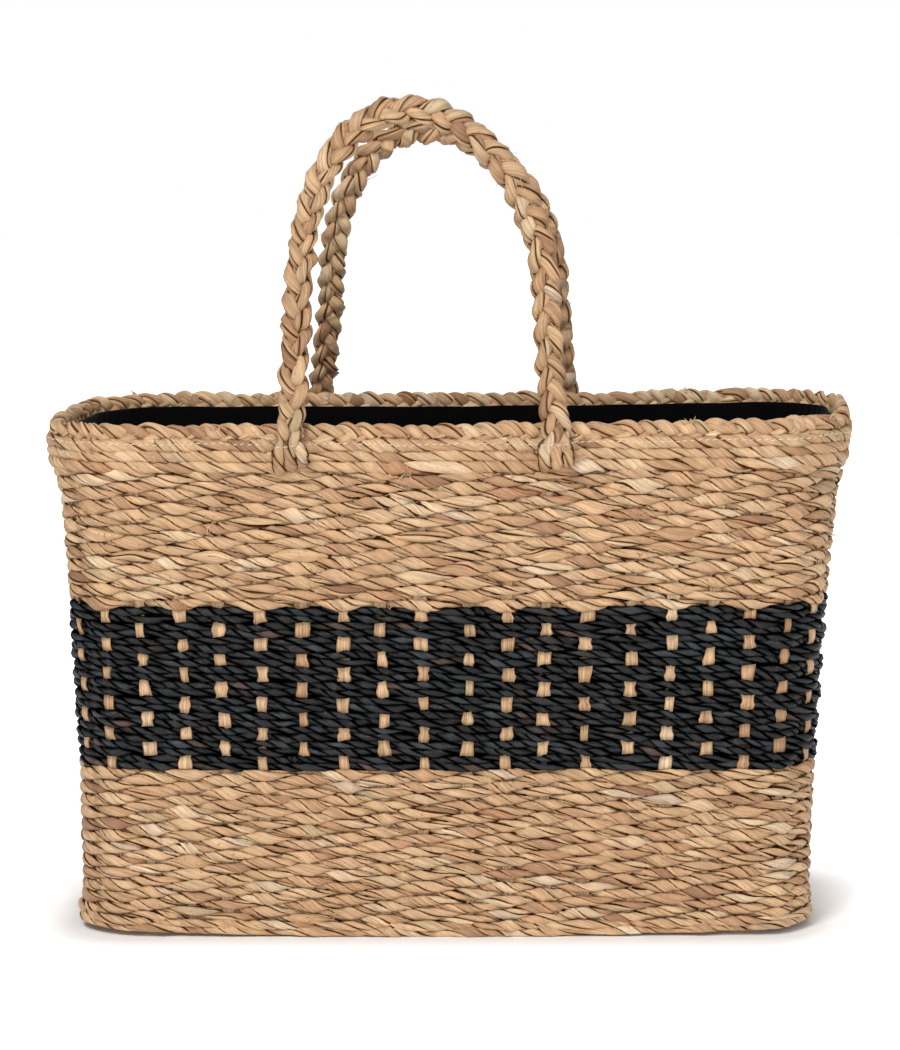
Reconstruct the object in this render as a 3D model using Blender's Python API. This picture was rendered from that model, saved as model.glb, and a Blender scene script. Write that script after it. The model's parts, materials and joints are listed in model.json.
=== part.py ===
"""A woven market basket with a fabric lining and two plaited handles, in metres, +Z up.

The origin is the middle of the underside, +X runs along the basket and -Y is its front.
Places on the wall are given by three numbers: k counts stakes round the basket from the
front-left corner (the front is 0 to 18, the right end 18 to 24, the back 24 to 42 and the
left end 42 to 48), z is the height, and out is the distance outside the wall's outer face.
"""

import math

import bmesh
import bpy
from mathutils import Vector

# Driving dimensions, in metres
BASE_WIDTH = 0.4315
BASE_DEPTH = 0.150
RIM_WIDTH = 0.465
RIM_DEPTH = 0.174
HEIGHT = 0.305
WALL = 0.008
GAP = 0.0003

# Wall shape
BASE_CORNER_RADIUS = 0.032
RIM_CORNER_RADIUS = 0.045
LONG_WALL_BULGE = 0.003
END_WALL_BULGE = 0.004
RIM_SKEW = 0.008
RIM_SHIFT = 0.006
RIM_FLARE_START = 0.84
RIM_FLARE_END = 0.92
RIM_FLARE_SHARE = 0.20

# Stakes
LONG_WALL_STAKES = 18
END_WALL_STAKES = 6
ALL_STAKES = 2 * (LONG_WALL_STAKES + END_WALL_STAKES)
STAKE_HALF_WIDTH = 0.165      # in stake spacings
CHANNEL_HALF_WIDTH = 0.190    # in stake spacings
STAKE_THICKNESS = 0.0016
CHANNEL_THICKNESS = STAKE_THICKNESS + 2 * GAP
STAKE_TOP = 0.2895
STAKE_BEND = 0.003
CROSS_STAKE_HEIGHT = 0.0040
LONG_STAKE_HEIGHT = 0.0060

# Heights of the woven zones
BORDER_ROPE_TOP = 0.0080
LOWER_WEAVE_TOP = 0.0995
BLACK_WEAVE_TOP = 0.1975
UPPER_WEAVE_TOP = 0.2780
RIM_ROPES_TOP = 0.2910

# Base, rim and lining
BASE_WEAVE_THICKNESS = 0.0029
BORDER_ROPE_OUT = 0.0015
BORDER_ROPE_IN = -0.0027
RIM_BRAID_OUT = 0.002
RIM_BRAID_IN = -0.010
RIM_BRAID_BOTTOM = RIM_ROPES_TOP + 0.0005
LINING_THICKNESS = 0.0008
LINING_OUT = -WALL - 0.0005
LINING_BOTTOM = 0.0074
LINING_TOP = 0.2905
HEM_BOTTOM = 0.281
HEM_TOP = 0.297
HEM_OUT = RIM_BRAID_IN - 0.0006
HEM_THICKNESS = 0.0016

# Handle feet and the seam that holds them
FOOT_HALF_SPAN = 0.0765
FRONT_HANDLE_SHIFT = -0.0111
BACK_HANDLE_SHIFT = -0.0164
FOOT_BOTTOM = 0.2785
FOOT_TOP = 0.308
FOOT_OUT = 0.0084
FOOT_LIP_OUT = 0.0045
FOOT_SHOULDER = 0.2890
FOOT_CLEARANCE = 0.0006
FOOT_TOP_HALF_WIDTH = 0.0095
FOOT_BOTTOM_HALF_WIDTH = 0.0115
THREAD = 0.0008
THREAD_HEIGHT = 0.294
THREAD_PAST_FOOT = 0.62        # in stake spacings from the middle of a foot
THREAD_BACK_ON_RIM = 0.85      # in stake spacings from the middle of a foot

# Handles
HINGE_OUT = 0.009
HINGE_HEIGHT = 0.3095
HANDLE_START = 0.007
LEG_HEIGHT = 0.0675
ARCH_HEIGHT = 0.111
ARCH_HALF_SPAN = 0.0715
ARCH_SIDEWAYS_LEAN = 0.008
ARCH_STEPS = 96
PLAIT_CENTRE = 0.0075
PLAIT_TURNS = 9
STEPS_PER_TURN = 6
PLAIT_SWAY = 0.0073
PLAIT_WEAVE = 0.0038
STRAND_WIDTH = 0.0054
STRAND_THICKNESS = 0.0042
STRAND_SIDES = 6
FRONT_LEAN = math.radians(8.0)
BACK_LEAN = math.radians(22.0)

# Sides of the round sections, and where a plain ring has its corners, in stake spacings
BORDER_ROPE_SIDES = 6
RIM_BRAID_SIDES = 8
STAKES_NEAR_CORNER = (-1.5, -0.5, 0.5, 1.5)
STOPS_ALONG_LONG_WALL = (-5.5, -3.3, -1.1, 1.1, 3.3, 5.5)
STOPS_ALONG_END_WALL = (-0.5, 0.5)
SMOOTH_ANGLE = math.radians(60.0)

NATURAL = (0.53, 0.33, 0.17, 1.0)
NATURAL_PALE = (0.60, 0.41, 0.23, 1.0)
BLACK_DYED = (0.020, 0.022, 0.022, 1.0)
LINING_BLACK = (0.006, 0.006, 0.008, 1.0)
THREAD_CREAM = (0.72, 0.68, 0.60, 1.0)


def clear_scene():
    for item in list(bpy.data.objects):
        bpy.data.objects.remove(item)


def make_material(name, colour, roughness):
    material = bpy.data.materials.new(name)
    material.use_nodes = True
    shader = material.node_tree.nodes["Principled BSDF"]
    shader.inputs["Base Color"].default_value = colour
    shader.inputs["Roughness"].default_value = roughness
    shader.inputs["Metallic"].default_value = 0.0
    return material


def make_object(name, mesh, material, smooth_angle=None):
    """Turn a finished bmesh into a named object whose faces point outwards."""
    bmesh.ops.recalc_face_normals(mesh, faces=mesh.faces)
    data = bpy.data.meshes.new(name)
    mesh.to_mesh(data)
    mesh.free()
    data.materials.append(material)
    if smooth_angle is not None:
        data.shade_smooth()
        data.set_sharp_from_angle(angle=smooth_angle)
    made = bpy.data.objects.new(name, data)
    bpy.context.collection.objects.link(made)
    return made


# The wall's shape

def smooth_step(value):
    value = min(max(value, 0.0), 1.0)
    return value * value * (3 - 2 * value)


def flare(z):
    """How far the wall has opened from the base size (0) towards the rim size (1)."""
    share = z / HEIGHT
    opened = min(share / RIM_FLARE_END, 1.0)
    lip = smooth_step((share - RIM_FLARE_START) / (RIM_FLARE_END - RIM_FLARE_START))
    return (1 - RIM_FLARE_SHARE) * opened * opened + RIM_FLARE_SHARE * lip


def between(low, high, share):
    return low + (high - low) * share


def wall_point(k, z, out):
    """A point of the wall, from its stake count, height and distance outside the outer face."""
    open_share = flare(z)
    half_width = between(BASE_WIDTH, RIM_WIDTH, open_share) / 2
    half_depth = between(BASE_DEPTH, RIM_DEPTH, open_share) / 2
    radius = between(BASE_CORNER_RADIUS, RIM_CORNER_RADIUS, open_share)
    k = k % ALL_STAKES
    side_starts = (0, LONG_WALL_STAKES, ALL_STAKES / 2, ALL_STAKES / 2 + LONG_WALL_STAKES)
    side = max(i for i in range(4) if k >= side_starts[i])
    is_long = side % 2 == 0
    stakes = LONG_WALL_STAKES if is_long else END_WALL_STAKES
    reach, depth = (half_width, half_depth) if is_long else (half_depth, half_width)
    bulge = LONG_WALL_BULGE if is_long else END_WALL_BULGE

    share = 2 * (k - side_starts[side]) / stakes - 1
    straight = reach - radius
    walked = share * (straight + radius * math.pi / 4)
    turn = max(abs(walked) - straight, 0.0) / radius
    sign = math.copysign(1.0, walked)
    if turn > 0:
        along = sign * (straight + radius * math.sin(turn))
    else:
        along = walked
    across = depth - radius + radius * math.cos(turn) + bulge * (1 - share * share)
    along += out * sign * math.sin(turn)
    across += out * math.cos(turn)

    heading = (Vector((1, 0)), Vector((0, 1)), Vector((-1, 0)), Vector((0, -1)))[side]
    outward = Vector((heading.y, -heading.x))
    flat = heading * along + outward * across
    skew = (RIM_SKEW * flat.y / half_depth + RIM_SHIFT) * z / HEIGHT
    return Vector((flat.x + skew, flat.y, z))


def ring_stops():
    """Stake counts at which a plain ring has its corners: close together where the wall turns."""
    near = []
    for stake in STAKES_NEAR_CORNER:
        near += [stake - CHANNEL_HALF_WIDTH, stake + CHANNEL_HALF_WIDTH]
    stops = []
    for corner in (0, LONG_WALL_STAKES, ALL_STAKES // 2, ALL_STAKES // 2 + LONG_WALL_STAKES):
        stops += [(corner + step) % ALL_STAKES for step in near]
    for middle in (LONG_WALL_STAKES / 2, ALL_STAKES / 2 + LONG_WALL_STAKES / 2):
        stops += [middle + step for step in STOPS_ALONG_LONG_WALL]
    for middle in (LONG_WALL_STAKES + END_WALL_STAKES / 2, ALL_STAKES - END_WALL_STAKES / 2):
        stops += [middle + step for step in STOPS_ALONG_END_WALL]
    return sorted(stops)


def loft_ring(name, section_at, stops, material, smooth_angle=None):
    """A closed ring round the basket. section_at(k) gives the section's (z, out) corners."""
    mesh = bmesh.new()
    columns = []
    for k in stops:
        columns.append([mesh.verts.new(wall_point(k, z, out)) for z, out in section_at(k)])
    for here, following in zip(columns, columns[1:] + columns[:1]):
        for corner in range(len(here)):
            other = (corner + 1) % len(here)
            mesh.faces.new((here[corner], here[other], following[other], following[corner]))
    return make_object(name, mesh, material, smooth_angle)


def loft_sections(name, sections, material, smooth_angle=None):
    """A closed solid through a row of sections with the same number of corners."""
    mesh = bmesh.new()
    rows = [[mesh.verts.new(point) for point in section] for section in sections]
    for here, following in zip(rows, rows[1:]):
        for corner in range(len(here)):
            other = (corner + 1) % len(here)
            mesh.faces.new((here[corner], here[other], following[other], following[corner]))
    mesh.faces.new(rows[0])
    mesh.faces.new(rows[-1])
    return make_object(name, mesh, material, smooth_angle)


def round_section(z_centre, out_centre, z_half, out_half, corners):
    """The (z, out) corners of an oval section."""
    angles = [2 * math.pi * (corner + 0.5) / corners for corner in range(corners)]
    return [(z_centre + z_half * math.sin(a), out_centre + out_half * math.cos(a)) for a in angles]


# Woven body

def make_woven_band(name, bottom, top, material):
    """One zone of the wall: a ring with an open upright channel for each stake."""
    mesh = bmesh.new()
    channel_front = (CHANNEL_THICKNESS - WALL) / 2
    channel_back = (-CHANNEL_THICKNESS - WALL) / 2
    edges = []
    for stake in range(ALL_STAKES):
        for side in (-CHANNEL_HALF_WIDTH, CHANNEL_HALF_WIDTH):
            columns = {}
            for part, out in (("outer", 0.0), ("front", channel_front), ("back", channel_back), ("inner", -WALL)):
                k = stake + 0.5 + side
                columns[part] = [mesh.verts.new(wall_point(k, z, out)) for z in (bottom, top)]
            edges.append(columns)

    def upright(first, second):
        mesh.faces.new((first[0], second[0], second[1], first[1]))

    for index, here in enumerate(edges):
        following = edges[(index + 1) % len(edges)]
        upright(here["outer"], following["outer"])
        upright(here["inner"], following["inner"])
        upright(here["front"], here["back"])
        at_channel = index % 2 == 0
        if at_channel:
            upright(here["front"], following["front"])
            upright(here["back"], following["back"])
        for level in (0, 1):
            if at_channel:
                for first, second in (("outer", "front"), ("back", "inner")):
                    mesh.faces.new((here[first][level], following[first][level],
                                    following[second][level], here[second][level]))
            else:
                order = ("outer", "front", "back", "inner")
                corners = [here[part][level] for part in order]
                corners += [following[part][level] for part in reversed(order)]
                mesh.faces.new(corners)
    return make_object(name, mesh, material)


def make_woven_body(natural, black):
    make_woven_band("lower_weave", BORDER_ROPE_TOP + GAP, LOWER_WEAVE_TOP, natural)
    make_woven_band("black_weave", LOWER_WEAVE_TOP + GAP, BLACK_WEAVE_TOP, black)
    make_woven_band("upper_weave", BLACK_WEAVE_TOP + GAP, UPPER_WEAVE_TOP, natural)
    make_woven_band("rim_ropes", UPPER_WEAVE_TOP + GAP, RIM_ROPES_TOP, natural)


def make_base(natural):
    """The woven underside, which the basket stands on, and the rope round its edge."""
    edge = BORDER_ROPE_IN - 2 * GAP
    stops = ring_stops()
    sections = [[wall_point(k, z, edge) for k in stops] for z in (0.0, BASE_WEAVE_THICKNESS)]
    loft_sections("base_weave", sections, natural)

    middle = (BORDER_ROPE_OUT + BORDER_ROPE_IN) / 2
    half = (BORDER_ROPE_OUT - BORDER_ROPE_IN) / 2
    section = round_section(BORDER_ROPE_TOP / 2, middle, BORDER_ROPE_TOP / 2, half, BORDER_ROPE_SIDES)
    loft_ring("base_border_rope", lambda k: section, stops, natural, SMOOTH_ANGLE)


def stake_section(k, z, out, tilt):
    """Four corners of a stake. Its thickness points outwards, turned up towards the floor by tilt."""
    half = STAKE_THICKNESS / 2
    corners = []
    for side, face in ((-1, -1), (1, -1), (1, 1), (-1, 1)):
        face_z = z - face * half * math.sin(tilt)
        face_out = out + face * half * math.cos(tilt)
        corners.append(wall_point(k + side * STAKE_HALF_WIDTH, face_z, face_out))
    return corners


def stake_leg(k, base_height):
    """Sections of a stake from its top end down the wall and round its bend into the base."""
    middle = -WALL / 2
    levels = (STAKE_TOP, UPPER_WEAVE_TOP, BLACK_WEAVE_TOP, LOWER_WEAVE_TOP)
    sections = [stake_section(k, z, middle, 0.0) for z in levels]
    for tilt in (0.0, math.pi / 4, math.pi / 2):
        z = base_height + STAKE_BEND * (1 - math.sin(tilt))
        out = middle - STAKE_BEND * (1 - math.cos(tilt))
        sections.append(stake_section(k, z, out, tilt))
    return sections


def make_stake(name, start, end, base_height, material):
    """A flat blade that runs down one wall, across the base and up the opposite wall."""
    down = stake_leg(start, base_height)
    up = [[section[i] for i in (1, 0, 3, 2)] for section in reversed(stake_leg(end, base_height))]
    loft_sections(name, down + up, material)


def make_stakes(material):
    for index in range(LONG_WALL_STAKES):
        front = index + 0.5
        back = ALL_STAKES / 2 + LONG_WALL_STAKES - front
        make_stake(f"cross_stake_{index + 1:02d}", front, back, CROSS_STAKE_HEIGHT, material)
    for index in range(END_WALL_STAKES):
        right = LONG_WALL_STAKES + index + 0.5
        left = ALL_STAKES - index - 0.5
        make_stake(f"long_stake_{index + 1:02d}", right, left, LONG_STAKE_HEIGHT, material)


def make_rim_braid(material):
    middle_z = (HEIGHT + RIM_BRAID_BOTTOM) / 2
    middle_out = (RIM_BRAID_OUT + RIM_BRAID_IN) / 2
    corner_reach = math.cos(math.pi / RIM_BRAID_SIDES)
    half_z = (HEIGHT - RIM_BRAID_BOTTOM) / 2 / corner_reach
    half_out = (RIM_BRAID_OUT - RIM_BRAID_IN) / 2 / corner_reach
    section = round_section(middle_z, middle_out, half_z, half_out, RIM_BRAID_SIDES)
    loft_ring("rim_braid", lambda k: section, ring_stops(), material, SMOOTH_ANGLE)


# Lining and seam

def make_lining(material):
    """A bag of thin cloth: its sides, its bottom, and the folded hem sewn inside the rim."""
    levels = (LINING_BOTTOM, LOWER_WEAVE_TOP, BLACK_WEAVE_TOP, UPPER_WEAVE_TOP, LINING_TOP)
    section = [(z, LINING_OUT) for z in levels]
    section += [(z, LINING_OUT - LINING_THICKNESS) for z in reversed(levels)]
    stops = ring_stops()
    loft_ring("lining_sides", lambda k: section, stops, material)

    inside = LINING_OUT - LINING_THICKNESS - 2 * GAP
    heights = (LINING_BOTTOM, LINING_BOTTOM + LINING_THICKNESS)
    loft_sections("lining_bottom", [[wall_point(k, z, inside) for k in stops] for z in heights], material)

    hem_in = HEM_OUT - HEM_THICKNESS
    hem = [(HEM_BOTTOM, HEM_OUT), (HEM_TOP, HEM_OUT), (HEM_TOP, hem_in), (HEM_BOTTOM, hem_in)]
    loft_ring("lining_hem", lambda k: hem, stops, material)


def foot_places():
    """Stake counts of the four handle feet."""
    middle = LONG_WALL_STAKES / 2
    pitch = (wall_point(middle + 1, HEIGHT, 0) - wall_point(middle, HEIGHT, 0)).x
    places = {}
    for side, direction in (("left", -1), ("right", 1)):
        front_step = (FRONT_HANDLE_SHIFT + direction * FOOT_HALF_SPAN) / pitch
        back_step = (BACK_HANDLE_SHIFT + direction * FOOT_HALF_SPAN) / pitch
        places[f"front_{side}_foot"] = middle + front_step
        places[f"back_{side}_foot"] = ALL_STAKES / 2 + middle - back_step
    return places


def make_feet(material):
    """The four ends of the plaits, fanned out over the rim and tucked into the wall below it."""
    over_rim = RIM_BRAID_OUT + FOOT_CLEARANCE
    section = (
        (FOOT_BOTTOM, FOOT_CLEARANCE),
        (FOOT_BOTTOM, FOOT_LIP_OUT),
        (FOOT_SHOULDER, FOOT_OUT),
        (FOOT_TOP, FOOT_OUT),
        (FOOT_TOP, over_rim),
        (RIM_ROPES_TOP - GAP, over_rim),
        (RIM_ROPES_TOP - FOOT_CLEARANCE, FOOT_CLEARANCE),
    )
    for name, place in foot_places().items():
        pitch = (wall_point(place + 0.5, HEIGHT, 0) - wall_point(place - 0.5, HEIGHT, 0)).length
        sides = []
        for side in (-1, 1):
            corners = []
            for z, out in section:
                share = (z - FOOT_BOTTOM) / (FOOT_TOP - FOOT_BOTTOM)
                half = between(FOOT_BOTTOM_HALF_WIDTH, FOOT_TOP_HALF_WIDTH, share)
                corners.append(wall_point(place + side * half / pitch, z, out))
            sides.append(corners)
        loft_sections(name, sides, material)


def make_seam_thread(material):
    """The sewing thread along the outside of the rim, which steps out over each handle foot."""
    feet = foot_places().values()
    stops = [k for k in ring_stops() if all(abs(k - foot) > THREAD_BACK_ON_RIM for foot in feet)]
    for foot in feet:
        for step in (THREAD_PAST_FOOT, THREAD_BACK_ON_RIM):
            stops += [foot - step, foot + step]
    halfway = (THREAD_PAST_FOOT + THREAD_BACK_ON_RIM) / 2

    def section_at(k):
        on_foot = any(abs(k - foot) < halfway for foot in feet)
        near = FOOT_OUT + GAP if on_foot else RIM_BRAID_OUT + GAP
        low = THREAD_HEIGHT - THREAD / 2
        high = THREAD_HEIGHT + THREAD / 2
        return [(low, near), (low, near + THREAD), (high, near + THREAD), (high, near)]

    loft_ring("rim_seam_thread", section_at, sorted(stops), material)


# Handles

def arch_line(count):
    """Evenly spaced points up one leg, over the arch and down the other, in the handle's plane."""
    outline = [Vector((-FOOT_HALF_SPAN, HANDLE_START))]
    for step in range(ARCH_STEPS + 1):
        angle = math.pi * (1 - step / ARCH_STEPS)
        across = ARCH_HALF_SPAN * math.cos(angle) - ARCH_SIDEWAYS_LEAN * math.sin(angle) ** 2
        outline.append(Vector((across, LEG_HEIGHT + ARCH_HEIGHT * math.sin(angle))))
    outline.append(Vector((FOOT_HALF_SPAN, HANDLE_START)))
    lengths = [0.0]
    for here, following in zip(outline, outline[1:]):
        lengths.append(lengths[-1] + (following - here).length)
    points = []
    piece = 0
    for index in range(count + 1):
        target = lengths[-1] * index / count
        while piece < len(outline) - 2 and lengths[piece + 1] < target:
            piece += 1
        share = (target - lengths[piece]) / (lengths[piece + 1] - lengths[piece])
        points.append(outline[piece].lerp(outline[piece + 1], share))
    return points


def strand_sections(phase, inward):
    """Sections of one strand of the plait. It sways from side to side, over and under the others."""
    count = PLAIT_TURNS * STEPS_PER_TURN
    line = arch_line(count)
    sections = []
    for index, centre in enumerate(line):
        before = line[max(index - 1, 0)]
        after = line[min(index + 1, count)]
        tangent = (after - before).normalized()
        sideways = Vector((-tangent.y, tangent.x))
        angle = math.tau * (index + 0.5) / STEPS_PER_TURN + phase
        sway = PLAIT_SWAY * math.sin(angle)
        depth = PLAIT_CENTRE + PLAIT_WEAVE * math.sin(2 * angle)
        section = []
        for corner in range(STRAND_SIDES):
            turn = math.tau * corner / STRAND_SIDES
            flat = centre + sideways * (sway + STRAND_WIDTH / 2 * math.cos(turn))
            section.append(Vector((flat.x, inward * (depth + STRAND_THICKNESS / 2 * math.sin(turn)), flat.y)))
        sections.append(section)
    return sections


def make_handle(name, feet, inward, lean, material):
    """Three plaited strands that turn together about the line where the handle leaves the rim."""
    places = foot_places()
    ends = [wall_point(places[foot], HINGE_HEIGHT, HINGE_OUT) for foot in feet]
    hinge = bpy.data.objects.new(f"{name}_hinge", None)
    hinge.location = (ends[0] + ends[1]) / 2
    hinge.rotation_euler.x = -inward * lean
    bpy.context.collection.objects.link(hinge)
    for index, letter in enumerate("abc"):
        sections = strand_sections(index * math.tau / 3, inward)
        strand = loft_sections(f"{name}_strand_{letter}", sections, material, SMOOTH_ANGLE)
        strand.parent = hinge


def main():
    clear_scene()
    natural = make_material("natural_seagrass", NATURAL, 0.75)
    plaited = make_material("plaited_seagrass", NATURAL_PALE, 0.7)
    black = make_material("black_seagrass", BLACK_DYED, 0.6)
    lining = make_material("lining_cloth", LINING_BLACK, 0.95)
    thread = make_material("sewing_thread", THREAD_CREAM, 0.8)
    make_base(natural)
    make_stakes(plaited)
    make_woven_body(natural, black)
    make_rim_braid(natural)
    make_lining(lining)
    make_feet(plaited)
    make_seam_thread(thread)
    make_handle("front_handle", ("front_left_foot", "front_right_foot"), 1, FRONT_LEAN, plaited)
    make_handle("back_handle", ("back_left_foot", "back_right_foot"), -1, BACK_LEAN, plaited)


main()
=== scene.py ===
"""Looks of the woven market basket: twisted cords, flat stakes, plaited handles and a cloth lining.

Places on the wall use three numbers, as in the CAD: k counts stakes round the basket from the
front-left corner, z is the height, and out is the distance outside the wall's outer face.
Lengths are in metres.
"""
import json
import math

import bpy
import numpy as np
from mathutils import Matrix, Vector
from mathutils.bvhtree import BVHTree

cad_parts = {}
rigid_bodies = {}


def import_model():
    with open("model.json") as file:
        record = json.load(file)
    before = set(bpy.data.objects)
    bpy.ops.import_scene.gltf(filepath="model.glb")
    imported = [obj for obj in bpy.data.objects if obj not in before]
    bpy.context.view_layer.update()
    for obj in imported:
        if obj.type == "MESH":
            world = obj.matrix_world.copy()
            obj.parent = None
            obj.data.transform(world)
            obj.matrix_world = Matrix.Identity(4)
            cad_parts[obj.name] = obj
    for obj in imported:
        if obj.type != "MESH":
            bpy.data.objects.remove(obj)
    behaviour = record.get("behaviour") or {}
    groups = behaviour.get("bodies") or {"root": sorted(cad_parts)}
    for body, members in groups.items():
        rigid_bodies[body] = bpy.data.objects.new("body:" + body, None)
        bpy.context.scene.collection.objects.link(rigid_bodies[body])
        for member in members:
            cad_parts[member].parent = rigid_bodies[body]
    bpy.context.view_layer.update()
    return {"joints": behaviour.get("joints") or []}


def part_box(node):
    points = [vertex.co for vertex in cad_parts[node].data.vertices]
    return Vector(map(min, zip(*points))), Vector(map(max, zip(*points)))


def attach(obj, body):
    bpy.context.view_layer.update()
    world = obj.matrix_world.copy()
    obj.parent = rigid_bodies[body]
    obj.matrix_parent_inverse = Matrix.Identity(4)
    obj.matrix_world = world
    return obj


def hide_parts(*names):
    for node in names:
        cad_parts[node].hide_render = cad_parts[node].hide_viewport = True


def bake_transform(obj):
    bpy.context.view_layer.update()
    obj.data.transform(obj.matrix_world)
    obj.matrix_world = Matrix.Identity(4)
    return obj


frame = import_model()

# Wall shape, as in the CAD
BASE_WIDTH = 0.4315
BASE_DEPTH = 0.150
RIM_WIDTH = 0.465
RIM_DEPTH = 0.174
HEIGHT = 0.305
WALL = 0.008
MIDDLE = -WALL / 2
BASE_CORNER_RADIUS = 0.032
RIM_CORNER_RADIUS = 0.045
LONG_WALL_BULGE = 0.003
END_WALL_BULGE = 0.004
RIM_SKEW = 0.008
RIM_SHIFT = 0.006
RIM_FLARE_START = 0.84
RIM_FLARE_END = 0.92
RIM_FLARE_SHARE = 0.20
LONG_STAKES = 18
END_STAKES = 6
STAKES = 2 * (LONG_STAKES + END_STAKES)
STAKE_PITCH = 0.024

# Unevenness that the CAD leaves out: the rim rises at the back and the right, and the base's ends lift
BACK_RISE = 0.0018
RIGHT_RISE = 0.0032
END_LIFT = 0.0042
END_LIFT_TOP = 0.10
FLOOR_GAP = 0.0002
ROW_STRAY = 0.00045
STAKE_STRAY = 0.07             # in stake spacings

# Heights of the zones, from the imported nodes
BORDER_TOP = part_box("base_border_rope")[1].z
BLACK_BOTTOM, BLACK_TOP = (corner.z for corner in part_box("black_weave"))
UPPER_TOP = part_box("upper_weave")[1].z
RIM_ROPES_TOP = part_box("rim_ropes")[1].z
RIM_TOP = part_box("rim_braid")[1].z

LOWER_ROWS = 24
BLACK_ROWS = 11
UPPER_ROWS = 20
BLACK_FIRST_ROW = LOWER_ROWS
UPPER_FIRST_ROW = LOWER_ROWS + BLACK_ROWS

TURN = 2 * math.pi
STEPS = 8 * STAKES
AROUND = np.arange(STEPS) / STEPS * STAKES      # where a cord's rings lie, in stake counts
JOINTS = {joint["name"]: joint for joint in frame["joints"]}


# Numbers along the wall

def smooth_step(value):
    value = np.clip(value, 0.0, 1.0)
    return value * value * (3 - 2 * value)


def blend(low, high, share):
    return low + (high - low) * share


def rounded_wave(wave, power):
    """A wave between -1 and 1 with its crests widened."""
    return np.sign(wave) * np.abs(wave) ** power


def unit(vectors):
    return vectors / np.linalg.norm(vectors, axis=-1, keepdims=True)


def wall_points(k, z, out):
    """Points of the wall. k, z and out are arrays of one shape."""
    k, z, out = np.broadcast_arrays(k, z, out)
    share = np.maximum(z, 0.0) / HEIGHT
    lip = smooth_step((share - RIM_FLARE_START) / (RIM_FLARE_END - RIM_FLARE_START))
    widened = np.minimum(share / RIM_FLARE_END, 1.0)
    opened = (1 - RIM_FLARE_SHARE) * widened**2 + RIM_FLARE_SHARE * lip
    half_width = blend(BASE_WIDTH, RIM_WIDTH, opened) / 2
    half_depth = blend(BASE_DEPTH, RIM_DEPTH, opened) / 2
    radius = blend(BASE_CORNER_RADIUS, RIM_CORNER_RADIUS, opened)

    k = np.mod(k, STAKES)
    starts = np.array([0, LONG_STAKES, STAKES / 2, STAKES / 2 + LONG_STAKES])
    side = (k[..., None] >= starts).sum(axis=-1) - 1
    is_long = side % 2 == 0
    count = np.where(is_long, LONG_STAKES, END_STAKES)
    reach = np.where(is_long, half_width, half_depth)
    depth = np.where(is_long, half_depth, half_width)
    bulge = np.where(is_long, LONG_WALL_BULGE, END_WALL_BULGE)

    across_share = 2 * (k - starts[side]) / count - 1
    straight = reach - radius
    walked = across_share * (straight + radius * math.pi / 4)
    turn = np.maximum(np.abs(walked) - straight, 0.0) / radius
    sign = np.sign(walked)
    along = np.where(turn > 0, sign * (straight + radius * np.sin(turn)), walked)
    across = depth - radius + radius * np.cos(turn) + bulge * (1 - across_share**2)
    along = along + out * sign * np.sin(turn)
    across = across + out * np.cos(turn)

    heading_x = np.array([1, 0, -1, 0])[side]
    heading_y = np.array([0, 1, 0, -1])[side]
    x = heading_x * along + heading_y * across
    y = heading_y * along - heading_x * across
    rise = BACK_RISE * smooth_step(y / half_depth) + RIGHT_RISE * smooth_step(x / half_width)
    x = x + (RIM_SKEW * y / half_depth + RIM_SHIFT) * share
    return np.stack([x, y, z + rise * share**3], axis=-1)


def settled(points):
    """The soft base lifts off the floor a little towards its ends, and is flat where it meets the floor."""
    x, y, z = points.T
    low = np.clip(1 - z / END_LIFT_TOP, 0.0, 1.0)
    z = np.maximum(z, FLOOR_GAP)
    return np.stack([x, y, z + END_LIFT * (2 * x / BASE_WIDTH) ** 2 * low**2], axis=1)


def wander(slowest, fastest, rng, places=AROUND, period=STAKES):
    """Smooth random numbers, about -1 to 1, made of slowest to fastest waves in each period."""
    waves = range(slowest, fastest + 1)
    total = sum(rng.normal() * np.cos(TURN * wave * places / period + rng.uniform(0, TURN))
                for wave in waves)
    return total / math.sqrt(len(waves)) * 0.8


def make_drift_waves():
    """The waves by which the hand-woven rows stray up and down. Neighbouring rows stray together."""
    rng = np.random.default_rng(11)
    waves = []
    for count in (1, 2, 3, 5, 8, 13):
        lean = rng.uniform(-14, 14)
        phase = rng.uniform(0, TURN)
        waves.append((count, lean, phase, rng.uniform(0.5, 1.0) / count**0.35))
    return waves


DRIFT_WAVES = make_drift_waves()
STAKE_DRIFT = np.random.default_rng(5).uniform(-STAKE_STRAY, STAKE_STRAY, STAKES)


def row_drift(z):
    """How far a row strays up or down along its way. It strays less near the floor and the rim."""
    total = 0.0
    for count, lean, phase, size in DRIFT_WAVES:
        total = total + size * np.cos(TURN * count * AROUND / STAKES + lean * z / 0.1 + phase)
    held = smooth_step(z / 0.03) * smooth_step((RIM_TOP - z) / 0.03)
    return ROW_STRAY * total * (0.3 + 0.7 * held)


def stake_place(psi):
    """Where along the wall a point of the weave lies: the stakes aren't evenly spaced."""
    index = np.arange(-1, STAKES + 1)
    drift = np.interp(np.mod(psi, STAKES), index + 0.5, STAKE_DRIFT[index % STAKES])
    return psi + drift


# Meshes made of many tubes

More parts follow.
